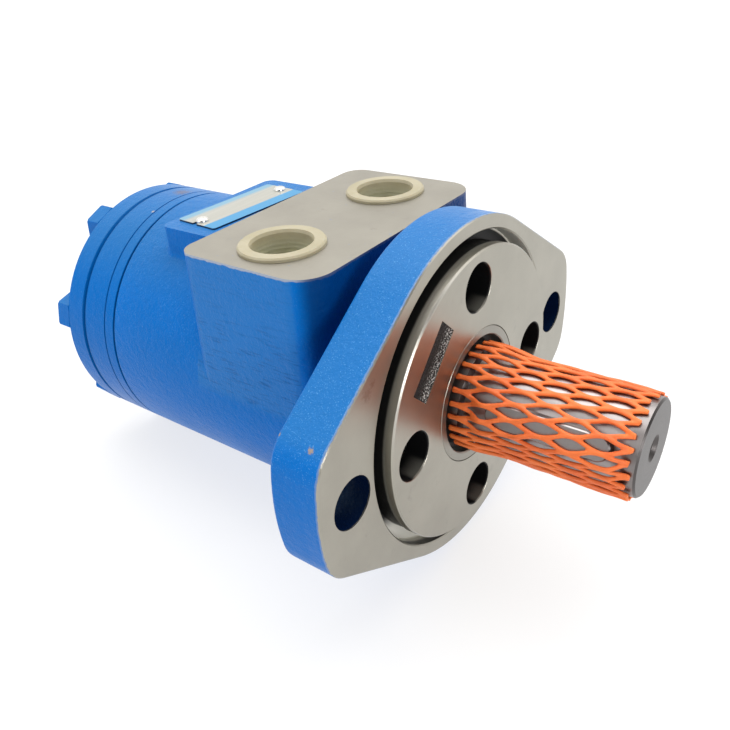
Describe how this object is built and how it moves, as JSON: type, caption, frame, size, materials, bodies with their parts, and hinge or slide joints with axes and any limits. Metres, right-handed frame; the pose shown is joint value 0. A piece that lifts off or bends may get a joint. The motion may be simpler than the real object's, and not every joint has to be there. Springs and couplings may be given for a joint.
{
  "type": "hydraulic motor",
  "caption": "Small orbital hydraulic motor: cast body with two plugged ports on top, oval two-bolt mounting flange with a round pilot, keyed output shaft under a protective net.",
  "frame": {"origin": "centre of the pilot in the plane of the mounting face", "axes": "+X along the output shaft, away from the body; +Z out of the port face; +Y along the line of the mounting holes"},
  "size_m": [0.1814, 0.13, 0.0968],
  "materials": {
    "blue_paint": "glossy enamel over cast iron",
    "machined_steel": "turned, lightly oiled",
    "ground_steel": "ground",
    "black_steel": "black oxide",
    "rivet_steel": "bright, domed",
    "seal_rubber": "smooth, oiled",
    "white_ptfe": "matte",
    "plate_aluminium": "satin with light blue printed bands",
    "cream_plastic": "moulded, slightly waxy",
    "orange_plastic": "extruded netting"
  },
  "bodies": {
    "motor_body": {"housing": "blue_paint", "mounting_flange": "blue_paint", "flange_screws": "black_steel", "dust_seal_ring": "machined_steel", "dust_seal_lip": "seal_rubber", "shaft_seal": "seal_rubber", "backup_ring": "white_ptfe", "flange_seal": "seal_rubber", "thrust_race": "ground_steel", "spacer_plate": "blue_paint", "gerotor_ring": "blue_paint", "end_cap": "blue_paint", "end_cap_bolts": "blue_paint", "body_seal_front": "seal_rubber", "body_seal_middle": "seal_rubber", "body_seal_rear": "seal_rubber", "nameplate": "plate_aluminium", "nameplate_rivets": "rivet_steel"},
    "shaft": {"output_shaft": "machined_steel", "shaft_key": "ground_steel"},
    "thrust_cage": {"thrust_needle_cage": "ground_steel"},
    "drive_spacer": {"drive_spacer": "ground_steel"},
    "star": {"gerotor_star": "ground_steel"},
    "drive_link": {"drive_link": "ground_steel"},
    "plug_front": {"port_plug_front": "cream_plastic"},
    "plug_rear": {"port_plug_rear": "cream_plastic"},
    "net": {"shaft_net": "orange_plastic"},
    "roller_1": {"gerotor_roller_1": "ground_steel"},
    "roller_2": {"gerotor_roller_2": "ground_steel"},
    "roller_3": {"gerotor_roller_3": "ground_steel"},
    "roller_4": {"gerotor_roller_4": "ground_steel"},
    "roller_5": {"gerotor_roller_5": "ground_steel"},
    "roller_6": {"gerotor_roller_6": "ground_steel"},
    "roller_7": {"gerotor_roller_7": "ground_steel"}
  },
  "joints": [
    {"name": "shaft_spin", "type": "hinge", "parent": "motor_body", "child": "shaft", "pos_m": [0, 0, 0], "axis": [1, 0, 0], "continuous": true},
    {"name": "thrust_cage_spin", "type": "hinge", "parent": "motor_body", "child": "thrust_cage", "pos_m": [-0.01685, 0, 0], "axis": [1, 0, 0], "continuous": true},
    {"name": "star_orbit", "type": "hinge", "parent": "motor_body", "child": "drive_spacer", "pos_m": [-0.11645, 0, 0], "axis": [1, 0, 0], "continuous": true},
    {"name": "star_spin", "type": "hinge", "parent": "drive_spacer", "child": "star", "pos_m": [-0.11205, 0, -0.003], "axis": [1, 0, 0], "continuous": true},
    {"name": "drive_link_spin", "type": "hinge", "parent": "drive_spacer", "child": "drive_link", "pos_m": [-0.056, 0, 0], "axis": [0.9985, 0, 0.0547], "continuous": true},
    {"name": "plug_front_pull", "type": "slide", "parent": "motor_body", "child": "plug_front", "axis": [0, 0, 1], "range_m": [0, 0.04]},
    {"name": "plug_rear_pull", "type": "slide", "parent": "motor_body", "child": "plug_rear", "axis": [0, 0, 1], "range_m": [0, 0.04]},
    {"name": "net_slide", "type": "slide", "parent": "shaft", "child": "net", "axis": [1, 0, 0], "range_m": [0, 0.05]},
    {"name": "roller_1_spin", "type": "hinge", "parent": "motor_body", "child": "roller_1", "pos_m": [-0.11205, 0, 0.0265], "axis": [1, 0, 0], "continuous": true},
    {"name": "roller_2_spin", "type": "hinge", "parent": "motor_body", "child": "roller_2", "pos_m": [-0.11205, -0.02072, 0.01652], "axis": [1, 0, 0], "continuous": true},
    {"name": "roller_3_spin", "type": "hinge", "parent": "motor_body", "child": "roller_3", "pos_m": [-0.11205, -0.02584, -0.0059], "axis": [1, 0, 0], "continuous": true},
    {"name": "roller_4_spin", "type": "hinge", "parent": "motor_body", "child": "roller_4", "pos_m": [-0.11205, -0.0115, -0.02388], "axis": [1, 0, 0], "continuous": true},
    {"name": "roller_5_spin", "type": "hinge", "parent": "motor_body", "child": "roller_5", "pos_m": [-0.11205, 0.0115, -0.02388], "axis": [1, 0, 0], "continuous": true},
    {"name": "roller_6_spin", "type": "hinge", "parent": "motor_body", "child": "roller_6", "pos_m": [-0.11205, 0.02584, -0.0059], "axis": [1, 0, 0], "continuous": true},
    {"name": "roller_7_spin", "type": "hinge", "parent": "motor_body", "child": "roller_7", "pos_m": [-0.11205, 0.02072, 0.01652], "axis": [1, 0, 0], "continuous": true}
  ],
  "couplings": [
    {"joint": "thrust_cage_spin", "follows": "shaft_spin", "ratio": 0.5},
    {"joint": "star_orbit", "follows": "shaft_spin", "ratio": -6},
    {"joint": "star_spin", "follows": "shaft_spin", "ratio": 7},
    {"joint": "drive_link_spin", "follows": "shaft_spin", "ratio": 7}
  ]
}
